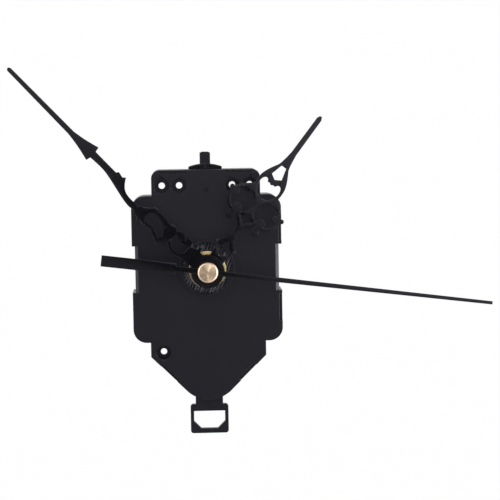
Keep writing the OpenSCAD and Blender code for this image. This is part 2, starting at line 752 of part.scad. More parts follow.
module coil_bobbin() {
    d0 = stator_d0 + stator_t;
    color(white_plastic) difference() {
        union() {
            along_coil(coil_half_w + 1, bobbin_tube_r);
            for (s = [-1, 1]) translate([s * (coil_half_w + 0.55), 0, 0]) along_coil(0.45, coil_r + 0.4);
        }
        box([-20, 20], [d0 - seat_fit / 2, d0 + stator_t + seat_fit / 2],
            [coil_z - 1 - seat_fit / 2, coil_z + 1 + seat_fit / 2]);
    }
}

module coil_winding() {
    color(copper) difference() {
        along_coil(coil_half_w, coil_r);
        along_coil(coil_half_w + 1, bobbin_tube_r + push_fit);
    }
}

module coil_screws() {
    d1 = stator_d0 + 2 * stator_t;
    color(steel) for (s = [-1, 1]) {
        at = [s * coil_screw_x, coil_z];
        difference() {
            union() {
                disc(at, front_wall + 1.4, d1, screw_r);
                disc(at, d1, d1 + 0.8, 1.5);
            }
            box([at[0] - 2, at[0] + 2], [d1 + 0.4, d1 + 2], [at[1] - 0.2, at[1] + 0.2]);
        }
    }
}

// Electronics

module circuit_board() {
    color(board_green) difference() {
        box([board_x0, board_x1], [board_d0, board_d0 + board_t], [board_z0, board_z1]);
        for (p = board_posts) disc(p, board_d0 - 1, board_d0 + 2, post_pin_r + push_fit);
    }
}

module chip() {
    face = board_d0 + board_t;
    color([0.08, 0.08, 0.09]) turned([board_mid, 7.5]) polygon([[0, -face], [2.7, -face], [2.5, -face - 0.4],
        [1.9, -face - 0.8], [1, -face - 1.05], [0, -face - 1.1]]);
}

module crystal() {
    face = board_d0 + board_t;
    x = board_x1 - 1.8;
    color(steel) {
        translate([x, face + 1, 11]) cylinder(h = 6, r = 1);
        for (s = [-1, 1]) box([x + s * 0.45 - 0.15, x + s * 0.45 + 0.15], [face, face + 1.15], [10.7, 11]);
    }
}

module contact_positive() {
    x1 = bay_x1 + plus_t;
    face = board_d0 + board_t;
    color(steel) {
        box([bay_x1, x1], [contact_d0, contact_d1], [contact_z0, contact_z1]);
        box([bay_x1, x1], [face, face + 3], [contact_z1 - 0.4, board_z0 + 3.4]);
        box([board_mid - 0.3, x1], [face, face + plus_t], [board_z0 + 0.4, board_z0 + 3.4]);
    }
}

module contact_negative() {
    x = bay_x0 - contact_t;
    t = contact_t;
    top = bay_z1 - 0.6;
    strip_z = bay_z1 + bay_wall;
    leaf_mid = (contact_z0 + top) / 2;
    leaf_top = top - 1.4;
    leaf_out = 2.4;
    color(steel) {
        box([x, bay_x0], [contact_d0, contact_d1], [contact_z0, top]);
        slab(5.5, 11.5) translate([bay_x0, 0]) polygon([[-eps, contact_z0 + 0.4],
            [leaf_out + 0.4, leaf_mid], [1, leaf_top + 0.1], [0.7, leaf_top], [leaf_out, leaf_mid],
            [-eps, contact_z0 + 0.8]]);
        box([x, riser_x + t], [contact_d0, strip_d1], [top - t, top]);
        box([riser_x, riser_x + t], [contact_d0, strip_d1], [top - t, strip_z + t]);
        box([riser_x, board_x0 + 2.1], [contact_d0, strip_d1], [strip_z, strip_z + t]);
        box([board_x0 + 0.6, board_x0 + 2.1], [contact_d0, board_d0], [strip_z, strip_z + t]);
        box([board_x0 + 0.6, board_x0 + 2.1], [board_d0 - t, board_d0], [strip_z, board_z0 + 2.9]);
    }
}

// Pendulum drive

module pendulum_pin() {
    color(steel) disc([0, -pivot_z], front_wall + 0.2, back_in_d - 0.2, pivot_r);
}

module pendulum_board() {
    color(board_green) difference() {
        slab(drive_board_d0, drive_board_d1) intersection() {
            low_outline(side_wall + 0.6);
            translate([-drive_board_w / 2, -drive_z - 5.5]) square([drive_board_w, 11]);
        }
        for (p = drive_posts) disc(p, drive_board_d0 - 1, drive_board_d1 + 1, drive_pin_r + push_fit);
    }
}

module pendulum_bobbin() {
    at = [0, -drive_z];
    d0 = drive_board_d1;
    color(white_plastic) difference() {
        union() {
            disc(at, d0, d0 + bobbin_flange, drive_coil_r + 0.5);
            disc(at, bobbin_d1 - bobbin_flange, bobbin_d1, drive_coil_r + 0.5);
            disc(at, d0, bobbin_d1, 2);
        }
        disc(at, d0 - 1, bobbin_d1 + 1, 1.2);
    }
}

module pendulum_coil() {
    color(copper) ring([0, -drive_z], drive_board_d1 + bobbin_flange, bobbin_d1 - bobbin_flange,
        drive_coil_r, 2 + push_fit);
}

// Two wires from the circuit board, behind the battery contact and along the corner of the bay
module pendulum_leads() {
    r = 0.3;
    d = board_d0 - r;
    chamber = (bay_x1 + plus_t + wide_w / 2 - side_wall) / 2;
    floor_z = bay_z0 + 0.4;
    color([0.7, 0.1, 0.1]) for (k = [0, 1]) {
        o = k * 0.9;
        route = [[board_x1 - 0.8 - 1.4 * o, d, board_z0 + 1 + o], [board_x1 - 0.5, d - 0.4 - o, bay_z1 + 0.7],
            [bay_x1 + 0.25, d - 0.7 - o, bay_z1 - 0.05], [chamber, d - 1.1 - o, bay_z1 - 1.1],
            [chamber, d - 1.4 - o, contact_z0 - 0.5 * (1 - o)],
            [bay_x1 + 0.2, 3 - o, contact_z0 - 1.5 + 0.6 * o],
            [bay_x1 - 0.8, 3 - o, floor_z], [lead_x, 3 - o, floor_z], [lead_x, 3 - o, floor_z - 3],
            [drive_board_w / 2 - 0.6, drive_board_d1 + r, -pivot_z - 4.3 - 2 * o]];
        for (i = [0:len(route) - 2]) hull() {
            translate(route[i]) sphere(r, $fn = 8);
            translate(route[i + 1]) sphere(r, $fn = 8);
        }
    }
}

module hook_outline() {
    z1 = -hook_z0;
    z0 = z1 - hook_h;
    x = hook_half_w - hook_side;
    low = z0 + hook_bar;
    difference() {
        rounded(-hook_half_w, z0, hook_half_w, z1, 1.1);
        polygon([[-x, z1 - hook_top], [-x, low + hook_slant], [-x + hook_slant, low],
            [x - hook_slant, low], [x, low + hook_slant], [x, z1 - hook_top]]);
    }
}

module pendulum_arm() {
    at = [0, -drive_z];
    color(black_case) difference() {
        union() {
            slab(arm_d, arm_d1) {
                translate([-3, -drive_z]) square([6, drive_z - pivot_z]);
                translate(at) circle(drive_r + 1.4);
                translate([-neck_half_w, -hook_z0 - 1]) square([2 * neck_half_w, hook_z0 + 1 - drive_z]);
                hook_outline();
            }
            disc([0, -pivot_z], arm_d - 0.8, arm_d1 + 1.4, pivot_r + 1.8);
        }
        disc([0, -pivot_z], arm_d - 2, arm_d1 + 3, pivot_r + run_fit);
        disc(at, arm_d - 1, arm_d1 + 1, drive_r + push_fit);
    }
}

module pendulum_magnet() {
    color(steel) disc([0, -drive_z], arm_d + 0.1, arm_d1 - 0.1, drive_r);
}

// Wheels

module hour_wheel() {
    color(white_plastic) difference() {
        union() {
            toothed([0, 0], hour_d0, hour_d1, hour_n, hour_m, hour_turn);
            disc([0, 0], -hour_hand_h - hand_t, hour_d1, hour_pipe_r);
        }
        disc([0, 0], -hour_hand_h - 2, hour_d1 + 1, minute_pipe_r + run_fit);
    }
}

module minute_pipe() {
    color(brass) difference() {
        union() {
            disc([0, 0], -minute_hand_h - hand_t - 0.2, pipe_end_d, minute_pipe_r);
            toothed([0, 0], cannon_d0, cannon_d1, cannon_n, motion_m, cannon_turn);
            disc([0, 0], cannon_d1 - 0.1, pipe_end_d, 2);
        }
        disc([0, 0], -minute_hand_h - 2, pipe_end_d + 1, second_arbor_r + run_fit);
    }
}

module centre_wheel() {
    color(white_plastic) difference() {
        toothed([0, 0], centre_d0, centre_d1, centre_n, centre_m, centre_turn);
        disc([0, 0], centre_d0 - 1, centre_d1 + 1, 2 + push_fit);
    }
}

module seconds_wheel() {
    color(white_plastic) difference() {
        union() {
            toothed([0, 0], second_d0, second_d1, second_n, second_m, second_turn);
            toothed([0, 0], second_pinion_d0, second_d0 + 0.1, second_pinion_n, inter_m, second_pinion_turn);
        }
        disc([0, 0], second_pinion_d0 - 1, second_d1 + 1, second_arbor_r + push_fit);
    }
}

module seconds_arbor() {
    color(steel) disc([0, 0], -second_hand_h - hand_t + 0.1, plate_d1 - 0.2, second_arbor_r);
}

// A disc, a pinion beside it and the plain arbor that both turn on, in one piece
module arbor_wheel(at, n, m, turn, d0, pinion_n, pinion_m, pinion_turn, pinion_d0, pinion_d1) {
    toothed(at, d0, d0 + wheel_t, n, m, turn);
    toothed(at, pinion_d0, pinion_d1, pinion_n, pinion_m, pinion_turn);
    disc(at, arbor_front_d, plate_d1 - 0.2, arbor_r);
}

module intermediate_wheel() {
    color(white_plastic) arbor_wheel(inter_at, inter_n, inter_m, inter_turn, inter_d0,
        inter_pinion_n, centre_m, inter_pinion_turn, centre_d0 - pinion_over, inter_d0 + 0.1);
}

module third_wheel() {
    color(white_plastic) arbor_wheel(third_at, third_n, third_m, 0, third_d0,
        third_pinion_n, second_m, third_pinion_turn, second_d0 - pinion_over, third_d0 + 0.1);
}

module rotor_pinion() {
    color(white_plastic) {
        toothed(rotor_at, third_d0 - pinion_over, third_d1 + pinion_over, rotor_n, third_m, rotor_turn);
        disc(rotor_at, arbor_front_d, plate_d1 - 0.2, arbor_r);
        disc(rotor_at, stator_d0 + stator_t / 2 + magnet_len / 2, third_d0, 0.6);
    }
}

module rotor_magnet() {
    mid = stator_d0 + stator_t / 2;
    color([0.3, 0.3, 0.32]) ring(rotor_at, mid - magnet_len / 2, mid + magnet_len / 2, magnet_r,
        arbor_r + push_fit);
}

module minute_wheel() {
    color(white_plastic) {
        toothed(motion_at, motion_d0, motion_d1, motion_n, motion_m, motion_turn);
        toothed(motion_at, hour_d0, motion_d0 + 0.1, motion_pinion_n, hour_m, motion_pinion_turn);
        disc(motion_at, arbor_front_d, motion_d0, arbor_r);
        disc(motion_at, motion_d0, back_in_d - 0.2, set_arbor_r);
        disc(motion_at, motion_d0, case_depth - 0.2, set_arbor_r - 0.4);
    }
}

module set_knob() {
    d0 = back_in_d + 0.2;
    d1 = case_depth + knob_out;
    color(black_case) difference() {
        slab(d0, d1) translate(motion_at) polygon([for (i = [0:knob_grooves - 1])
            let (p = 360 / knob_grooves) each [polar(knob_r, (i - 0.3) * p),
                polar(knob_r, (i + 0.3) * p), polar(knob_r - 0.5, (i + 0.5) * p)]]);
        disc(motion_at, d0 - 1, case_depth - 0.1, set_arbor_r - 0.4 + push_fit);
    }
}

// Hands, drawn pointing to twelve o'clock. Their outlines run up the right edge and down the left.

minute_edge = [
    [[-3.1, 5], [3, 5]],
    [[3, 5], [3, 6.8]],
    [[3, 6.8], [4.4, 7.2]],
    [[4.4, 7.2], [4.3, 8.4]],
    [[4.3, 8.4], [2.8, 8.6]],
    [[2.8, 8.6], [2.6, 10.1], [3.6, 11.5], [3.8, 13.1], [2.7, 14.3]],
    [[2.7, 14.3], [3.5, 15.6], [3.6, 17.2], [2.7, 18.4], [3.2, 20]],
    [[3.2, 20], [3.2, 21.1]],
    [[3.2, 21.1], [2.3, 21.9]],
    [[2.3, 21.9], [2.9, 24.8], [3, 27.2], [2.7, 29]],
    [[2.7, 29], [3.1, 30.1]],
    [[3.1, 30.1], [2, 30.9], [0.6, 32.4], [-0.6, 34.1], [-1.4, 37], [-1.4, 40.3], [-0.7, 42.5],
        [0.8, 44.2], [2.8, 45.6]],
    [[2.8, 45.6], [1.9, 46.6]],
    [[1.9, 46.6], [2.4, 48.8]],
    [[2.4, 48.8], [1.5, 49.5]],
    [[1.5, 49.5], [1.5, 60]],
    [[1.5, 60], [3.35, 60.4]],
    [[3.35, 60.4], [1.85, 66], [1, 70.8]],
    [[1, 70.8], [0.8, 103.2]],
    [[0.8, 103.2], [0.3, 104]],
    [[0.3, 104], [-0.3, 104]],
    [[-0.3, 104], [-0.8, 103.4]],
    [[-0.8, 103.4], [-1.05, 71.7]],
    [[-1.05, 71.7], [-1.75, 66.4], [-3.05, 60.3]],
    [[-3.05, 60.3], [-1.35, 59.9]],
    [[-1.35, 59.9], [-1.1, 54], [-1.7, 49.5], [-2.9, 44], [-3.6, 40.5], [-3.9, 37.4], [-3.5, 35]],
    [[-3.5, 35], [-4.4, 34.5]],
    [[-4.4, 34.5], [-4.4, 32.8]],
    [[-4.4, 32.8], [-5.5, 31.9]],
    [[-5.5, 31.9], [-4.4, 30.8]],
    [[-4.4, 30.8], [-4.7, 29.6], [-4.7, 28], [-4.2, 25.9]],
    [[-4.2, 25.9], [-5.1, 23.8]],
    [[-5.1, 23.8], [-6.4, 20.5]],
    [[-6.4, 20.5], [-3, 18.7]],
    [[-3, 18.7], [-4.5, 16.4], [-5, 13.9], [-4.4, 11.2], [-3.1, 9.2], [-3.4, 8.5]],
    [[-3.4, 8.5], [-4.4, 8.4]],
    [[-4.4, 8.4], [-4.5, 6.7]],
    [[-4.5, 6.7], [-3.1, 6.6]],
    [[-3.1, 6.6], [-3.1, 5]]];
minute_eye_outer = [
    [[-4.2, 21.7], [-2.8, 21.4], [-0.9, 22.4], [0.5, 24.1], [1.1, 27.2], [0.7, 29.5], [-0.5, 30.6],
        [-2.2, 30.4], [-3.1, 28.8], [-2.8, 26.3]],
    [[-2.8, 26.3], [-4.2, 21.7]]];
minute_eye_inner = [
    [[1.5, 11.1], [0.9, 12.6], [0.9, 13.8], [0.6, 15.4], [1.1, 17.6], [-0.3, 18], [-2, 17.2], [-3.1, 15.6],
        [-3.3, 13.8], [-2.7, 12.1], [-1.4, 11]],
    [[-1.4, 11], [1.5, 11.1]]];

module minute_hand() {
    color(black_hand) difference() {
        slab(-minute_hand_h - hand_t, -minute_hand_h) rotate(-minute_angle) {
            scale(minute_k) polygon(outline(minute_edge));
            circle(hub_r);
        }
        slab(-minute_hand_h - 1, -minute_hand_h + 1) rotate(-minute_angle) scale(minute_k) {
            polygon(outline(minute_eye_outer));
            polygon(outline(minute_eye_inner));
        }
        disc([0, 0], -minute_hand_h - 1, -minute_hand_h + 1, minute_pipe_r + push_fit);
    }
}

hour_right = [
    [[2.9, 5], [3, 8], [3.2, 9.6], [3.4, 10.4]],
    [[3.4, 10.4], [4.6, 11.4]],
    [[4.6, 11.4], [3.5, 12.2], [2.5, 13.5], [1.4, 15.7], [0.9, 17.6], [1, 19.4], [1.8, 20.9],
        [3.2, 22.2], [4.4, 24]],
    [[4.4, 24], [9.6, 29]],
    [[9.6, 29], [10.4, 31.2]],
    [[10.4, 31.2], [9.2, 32.7], [8, 34], [6.6, 35.1], [5.3, 36.3]],
    [[5.3, 36.3], [5.4, 38.2], [5.2, 40.4], [4.4, 42.7], [3.1, 45.2], [2.1, 47], [1.5, 49.6], [1.05, 53]],
    [[1.05, 53], [0.95, 68.6]],
    [[0.95, 68.6], [0.4, 69.7]],
    [[0.4, 69.7], [0, 69.7]]];
hour_loop = [[[0, 7], [1.1, 7.4], [1.8, 8.8], [1.8, 10.3], [1, 12.1], [0, 13]]];
hour_heart = [
    [[0, 32.9], [2, 33.4], [3.6, 35.3], [4.2, 37.6], [3.9, 39.4], [3, 40.3], [2.1, 40], [1.6, 39.1]],
    [[1.6, 39.1], [0.9, 39.3], [0, 38.8]]];
hour_kite = [
    [[0, 41.2], [2.15, 42.5]],
    [[2.15, 42.5], [1, 46.9]],
    [[1, 46.9], [0, 46.9]]];
hour_diamond = [[[0, 21.1], [1.1, 22.6], [2.6, 23.7]], [[2.6, 23.7], [1.1, 24.5], [0, 25.7]]];
ring_at = [5.3, 28.7];
ring_open_r = 4.4;
ring_r = 5.5;

module hour_hand_outline() {
    difference() {
        union() {
            polygon(both_halves(hour_right));
            for (s = [-1, 1]) translate([s * ring_at[0], ring_at[1]]) circle(ring_r);
        }
        for (s = [-1, 1]) translate([s * ring_at[0], ring_at[1]]) circle(ring_open_r);
        for (o = [hour_loop, hour_heart, hour_kite, hour_diamond]) polygon(both_halves(o));
    }
    for (s = [-1, 1]) {
        translate([s * 8.7, 29.6]) circle(1.35);
        translate([s * 11.05, 30.35]) circle(0.9);
        translate([s * 10.4, 29.2]) circle(0.9);
        translate([s * 5.85, 21.3]) circle(1.3);
        translate([s * 5.1, 25.2]) circle(1.7);
        translate([s * 5.5, 23.2]) square([2.2, 3], center = true);
    }
}

module hour_hand() {
    color(black_hand) difference() {
        slab(-hour_hand_h - hand_t, -hour_hand_h) rotate(-hour_angle) {
            scale(hour_k) hour_hand_outline();
            difference() {
                circle(hub_r);
                scale(hour_k) polygon(both_halves(hour_loop));
            }
        }
        disc([0, 0], -hour_hand_h - 1, -hour_hand_h + 1, hour_pipe_r + push_fit);
    }
}

module second_hand() {
    color(black_hand) difference() {
        slab(-second_hand_h - hand_t, -second_hand_h) rotate(-second_angle) {
            polygon([[-second_w / 2, -weight_from - 1], [second_w / 2, -weight_from - 1],
                [second_w / 2, 0], [second_tip_w / 2, second_hand_len],
                [-second_tip_w / 2, second_hand_len], [-second_w / 2, 0]]);
            translate([-weight_w / 2, -weight_to]) square([weight_w, weight_to - weight_from]);
            circle(cap_r - 0.3);
        }
        disc([0, 0], -second_hand_h - 1, -second_hand_h + 1, second_arbor_r + push_fit);
    }
}

// A collet is a short tube riveted behind a hand, which grips the pipe
module hour_hand_collet() {
    bore = hour_pipe_r + push_fit;
    color(brass) ring([0, 0], -hour_hand_h, -hour_hand_h + collet_len, bore + collet_wall, bore);
}

module minute_hand_collet() {
    bore = minute_pipe_r + push_fit;
    color(brass) ring([0, 0], -minute_hand_h, -minute_hand_h + collet_len, bore + collet_wall, bore);
}

module second_hand_socket() {
    bore = second_arbor_r + push_fit;
    color(brass) ring([0, 0], -second_hand_h, -second_hand_h + collet_len, bore + collet_wall * 0.75, bore);
}

module second_hand_cap() {
    back = second_hand_h + hand_t;
    color(rose_gold) turned([0, 0]) polygon([[0, back], [cap_r, back], [cap_r, back + cap_t - cap_bevel],
        [cap_r - cap_bevel, back + cap_t], [0, back + cap_t]]);
}

front_cover();
back_case();
wall_hanger();
threaded_bush();
brass_washer();
hex_nut();
gear_plate();
stator();
coil_core();
coil_bobbin();
coil_winding();
coil_screws();
circuit_board();
chip();
crystal();
contact_positive();
contact_negative();
pendulum_pin();
pendulum_board();
pendulum_bobbin();
pendulum_coil();
pendulum_leads();
hour_wheel();
hour_hand_collet();
hour_hand();
minute_pipe();
centre_wheel();
minute_hand_collet();
minute_hand();
seconds_wheel();
seconds_arbor();
second_hand_socket();
second_hand();
second_hand_cap();
intermediate_wheel();
third_wheel();
rotor_pinion();
rotor_magnet();
minute_wheel();
set_knob();
pendulum_arm();
pendulum_magnet();
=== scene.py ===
# %% [markdown]
# # A quartz pendulum clock movement
# The object is the battery movement of a small wall clock: a black moulded case with a threaded
# brass stem, three black hands in front of it, a hook to hang it by and a hook for a pendulum.
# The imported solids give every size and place. This notebook dresses them: it rounds the edges
# that catch the light, cuts the real thread, and gives each part its finish.

import json
import math

import bmesh
import bpy
from mathutils import Matrix, Vector


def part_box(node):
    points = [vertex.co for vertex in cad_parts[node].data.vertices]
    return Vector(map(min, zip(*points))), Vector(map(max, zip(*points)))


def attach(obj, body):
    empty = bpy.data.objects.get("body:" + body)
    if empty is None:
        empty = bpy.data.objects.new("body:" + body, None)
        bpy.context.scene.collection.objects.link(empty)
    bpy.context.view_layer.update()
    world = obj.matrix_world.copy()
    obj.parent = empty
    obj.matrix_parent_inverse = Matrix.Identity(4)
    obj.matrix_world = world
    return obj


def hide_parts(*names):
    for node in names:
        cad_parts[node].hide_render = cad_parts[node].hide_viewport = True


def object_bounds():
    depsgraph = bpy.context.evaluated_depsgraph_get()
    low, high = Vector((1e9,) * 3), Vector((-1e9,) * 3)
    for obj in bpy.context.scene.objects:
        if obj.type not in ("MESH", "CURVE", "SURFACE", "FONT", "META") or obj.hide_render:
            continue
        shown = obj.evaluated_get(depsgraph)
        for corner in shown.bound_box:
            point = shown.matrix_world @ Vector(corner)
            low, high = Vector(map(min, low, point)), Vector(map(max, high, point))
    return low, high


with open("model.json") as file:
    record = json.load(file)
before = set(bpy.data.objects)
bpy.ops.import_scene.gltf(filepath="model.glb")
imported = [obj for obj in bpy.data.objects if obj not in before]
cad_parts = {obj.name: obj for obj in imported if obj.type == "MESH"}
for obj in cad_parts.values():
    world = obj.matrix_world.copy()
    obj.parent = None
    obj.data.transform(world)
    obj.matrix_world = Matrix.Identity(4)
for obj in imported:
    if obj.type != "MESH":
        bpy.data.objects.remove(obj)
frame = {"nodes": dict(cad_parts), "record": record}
solid_box = [list(corner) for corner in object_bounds()]
MM = 0.001
print("solid box in mm:", [[round(v / MM, 1) for v in corner] for corner in solid_box])

# %% [markdown]
# ## Camera
# The photograph was taken from almost straight in front, a little above and to the left, with a
# long lens, so the hands stay nearly as long as they are. The aim, the distance and the small
# tilt were found by laying the outline of the solids over the photograph. The aim is a point in
# the plane of the dial, right of the stem, because the long second hand reaches out there. The
# matrix is built from the view's own three axes, which is the plainest way to tilt a camera.

# %% Camera
AIM = Vector((16.135, 0, 6.57)) * MM
DISTANCE = 663 * MM
TURN, RISE, TILT = (math.radians(angle) for angle in (-2.09, 4.05, -0.97))
SENSOR, LENS = 36, 127.6

back = Vector((math.sin(TURN) * math.cos(RISE), -math.cos(TURN) * math.cos(RISE), math.sin(RISE)))
level = (-back).cross(Vector((0, 0, 1))).normalized()
lift = level.cross(-back)
right = level * math.cos(TILT) + lift * math.sin(TILT)
upward = lift * math.cos(TILT) - level * math.sin(TILT)

camera = bpy.data.objects.new("camera", bpy.data.cameras.new("camera"))
bpy.context.scene.collection.objects.link(camera)
camera.data.sensor_width = SENSOR
camera.data.lens = LENS
axes = Matrix((right, upward, back)).transposed().to_4x4()
camera.matrix_world = Matrix.Translation(AIM + back * DISTANCE) @ axes
bpy.context.scene.camera = camera
print("camera", [round(v, 3) for v in camera.matrix_world.translation])

# %% [markdown]
# ## Node helpers
# Every finish below is a small node tree. These helpers add a node and wire its inputs in one
# call, so that a finish reads like a recipe.

# %% Node helpers


class Recipe:
    """A node tree under construction."""

    def __init__(self, owner):
        owner.use_nodes = True
        self.tree = owner.node_tree
        self.tree.nodes.clear()

    def add(self, kind, inputs=None, **settings):
        """A new node. Each input is wired to a socket or set to a value."""
        node = self.tree.nodes.new(kind)
        for key, value in settings.items():
            setattr(node, key, value)
        for key, value in (inputs or {}).items():
            if isinstance(value, bpy.types.NodeSocket):
                self.tree.links.new(value, node.inputs[key])
            else:
                node.inputs[key].default_value = value
        return node

    def math(self, operation, a, b=0.0):
        return self.add("ShaderNodeMath", {0: a, 1: b}, operation=operation).outputs[0]

    def ramp(self, value, low, high, start=0.0, end=1.0):
        """value between low and high becomes start to end."""
        return self.add("ShaderNodeMapRange", {
            "Value": value, "From Min": low, "From Max": high, "To Min": start,
            "To Max": end}).outputs[0]

    def blend(self, share, a, b):
        """A colour between a and b. The Mix node keeps its colours in inputs 6 and 7."""
        return self.add("ShaderNodeMix", {0: share, 6: a, 7: b}, data_type="RGBA").outputs[2]

    def here(self):
        """Object coordinates, which stay on the part when it moves."""
        return self.add("ShaderNodeTexCoord").outputs["Object"]

    def place(self, scale=(1, 1, 1), turn=(0, 0, 0)):
        """Object coordinates, turned and stretched."""
        return self.add("ShaderNodeMapping", {
            "Vector": self.here(), "Rotation": turn, "Scale": scale}).outputs[0]

    def parts(self, vector):
        """The X, Y and Z of a vector."""
        return self.add("ShaderNodeSeparateXYZ", {0: vector}).outputs

    def noise(self, scale, detail=3.0, vector=None):
        vector = vector if vector is not None else self.place()
        return self.add("ShaderNodeTexNoise", {
            "Vector": vector, "Scale": scale, "Detail": detail}).outputs[0]

    def uneven(self, noise, low=0.0, high=1.0):
        """A noise, whose values lie mostly near its middle, becomes low to high."""
        return self.ramp(noise, 0.3, 0.7, low, high)

    def bump(self, height, depth, strength):
        return self.add("ShaderNodeBump", {
            "Height": height, "Distance": depth, "Strength": strength}).outputs[0]


print("recipe helpers ready")

# %% [markdown]
# ## Room
# The photograph has a pure white ground. The floor and the backdrop are one bent sheet, and the
# floor lies far below the part, which hangs in the air as it does in the photograph. To the
# camera, and in reflections and through clear parts, the sheet is nearly all white light of
# strength 1. For all other light it is a plain pale surface, so it still bounces light softly,
# and the small share of pale surface in what the camera sees keeps a trace of the part's shadow.

# %% Ground paint
PALE, WHITE_STRENGTH, WHITE_SHARE = (0.9, 0.9, 0.9, 1), 1.02, 0.93
ground_paint = bpy.data.materials.new("ground_paint")
recipe = Recipe(ground_paint)
path = recipe.add("ShaderNodeLightPath").outputs
seen = recipe.math("MAXIMUM", path["Is Camera Ray"], path["Is Glossy Ray"])
seen = recipe.math("MAXIMUM", seen, path["Is Transmission Ray"])
pale = recipe.add("ShaderNodeBsdfDiffuse", {"Color": PALE}).outputs[0]
white = recipe.add("ShaderNodeEmission", {
    "Color": (1, 1, 1, 1), "Strength": WHITE_STRENGTH}).outputs[0]
share = recipe.math("MULTIPLY", seen, WHITE_SHARE)
mixed = recipe.add("ShaderNodeMixShader", {0: share, 1: pale, 2: white}).outputs[0]
recipe.add("ShaderNodeOutputMaterial", {"Surface": mixed})
print("ground paint ready")

# %% Floor and backdrop
FLOOR_Z = solid_box[0][2] - 250 * MM
FLOOR_FRONT, FLOOR_BACK, FLOOR_SIDE = -0.35, 1.4, 3
BACKDROP_HEIGHT, BEND_RADIUS, BEND_STEPS = 3, 0.6, 12

bm = bmesh.new()
bmesh.ops.create_grid(bm, x_segments=1, y_segments=1, size=1)
bmesh.ops.scale(bm, verts=bm.verts, vec=(FLOOR_SIDE, (FLOOR_BACK - FLOOR_FRONT) / 2, 1))
bmesh.ops.translate(bm, verts=bm.verts, vec=(0, (FLOOR_BACK + FLOOR_FRONT) / 2, FLOOR_Z))
far_edge = [e for e in bm.edges if all(v.co.y > FLOOR_BACK / 2 for v in e.verts)]
risen = bmesh.ops.extrude_edge_only(bm, edges=far_edge)["geom"]
bmesh.ops.translate(bm, verts=[v for v in risen if isinstance(v, bmesh.types.BMVert)],
                    vec=(0, 0, BACKDROP_HEIGHT))
bend = [e for e in bm.edges if e.is_manifold]
bmesh.ops.bevel(bm, geom=bend, offset=BEND_RADIUS, segments=BEND_STEPS, profile=0.5,
                affect="EDGES", material=-1)
bmesh.ops.recalc_face_normals(bm, faces=bm.faces)
ground_mesh = bpy.data.meshes.new("ground")
bm.to_mesh(ground_mesh)
bm.free()
ground = bpy.data.objects.new("ground", ground_mesh)
bpy.context.scene.collection.objects.link(ground)
ground_mesh.materials.append(ground_paint)
print("ground:", len(ground_mesh.polygons), "faces at", round(FLOOR_Z / MM, 1), "mm")

# %% [markdown]
# ## Light
# Black plastic and black lacquer are drawn by what they mirror. The photograph looks like one
# from a white light tent: the hub, which mirrors the dark opening for the lens, is nearly black,
# and the hands grow lighter towards their tips. So the world is an even soft light, and in
# reflections it is a tent. In the direction of the dial it has a dark, slanting, oval opening.
# Its wall fades out towards the lower left, its roof and its foot are dimmer, and it has one
# bright panel at each side.

# %% Tent opening
OPENING_AT = Vector((-0.0016, 0, -0.0616))
OPENING_LONG, OPENING_WIDE, OPENING_LEAN = 0.052, 0.025, math.radians(-43.3)
OPENING_TONE, RIM_TONE, FAR_TONE = 0.10, 0.62, 0.22
INNER, RIM, FAR = 0.75, 1.45, 4.0
FRONT_LAST, FRONT_END, NOT_IN_FRONT = -0.2, 0.0, 5.0

world = bpy.data.worlds.new("studio")
bpy.context.scene.world = world
recipe = Recipe(world)
path = recipe.add("ShaderNodeLightPath").outputs
ray = recipe.add("ShaderNodeTexCoord").outputs["Generated"]
side = recipe.parts(ray)


def along(axis, half):
    """How far a ray points from the middle of the opening along axis, in half lengths."""
    share = recipe.add("ShaderNodeVectorMath", {0: ray, 1: axis / half}, operation="DOT_PRODUCT")
    return recipe.math("SUBTRACT", share.outputs["Value"], OPENING_AT.dot(axis) / half)


long_way = Vector((math.sin(OPENING_LEAN), 0, math.cos(OPENING_LEAN)))
wide_way = Vector((math.cos(OPENING_LEAN), 0, -math.sin(OPENING_LEAN)))
squares = [recipe.math("POWER", along(long_way, OPENING_LONG), 2.0),
           recipe.math("POWER", along(wide_way, OPENING_WIDE), 2.0)]
outside = recipe.math("SQRT", recipe.math("ADD", *squares))
behind = recipe.ramp(side["Y"], FRONT_LAST, FRONT_END, 0.0, NOT_IN_FRONT)
outside = recipe.math("MAXIMUM", outside, behind)
opening = recipe.ramp(outside, INNER, RIM, OPENING_TONE, RIM_TONE)
opening = recipe.math("ADD", opening, recipe.ramp(outside, RIM, FAR, 0.0, FAR_TONE))
print("opening leans by", round(math.degrees(OPENING_LEAN), 1), "degrees")

# %% Tent walls and panels
WALL_LEAN, WALL_LOW, WALL_HIGH, WALL_DARK, WALL_BRIGHT = 0.5, -0.28, 0.04, 0.08, 1.2
ROOF_FROM, ROOF_FULL, ROOF_TONE = 0.3, 0.6, 0.35
PANEL_FROM, PANEL_FULL, PANEL_RIGHT, PANEL_LEFT = 0.70, 0.85, 3.0, 1.6
SOFT_LIGHT = 0.55

leaning = recipe.math("ADD", side["Z"], recipe.math("MULTIPLY", side["X"], WALL_LEAN))
wall = recipe.ramp(leaning, WALL_LOW, WALL_HIGH, WALL_DARK, WALL_BRIGHT)
steepness = recipe.math("ABSOLUTE", side["Z"])
cover = recipe.ramp(steepness, ROOF_FROM, ROOF_FULL, 1.0, ROOF_TONE)
wall = recipe.math("MULTIPLY", wall, cover)
panel = recipe.math("ADD", recipe.ramp(side["X"], PANEL_FROM, PANEL_FULL, 0.0, PANEL_RIGHT),
                    recipe.ramp(side["X"], -PANEL_FROM, -PANEL_FULL, 0.0, PANEL_LEFT))
tent = recipe.math("ADD", recipe.math("MULTIPLY", opening, wall), panel)
tent = recipe.math("MULTIPLY", tent, path["Is Glossy Ray"])
even = recipe.ramp(path["Is Glossy Ray"], 0, 1, SOFT_LIGHT, 0.0)
clear = recipe.math("MAXIMUM", path["Is Camera Ray"], path["Is Transmission Ray"])
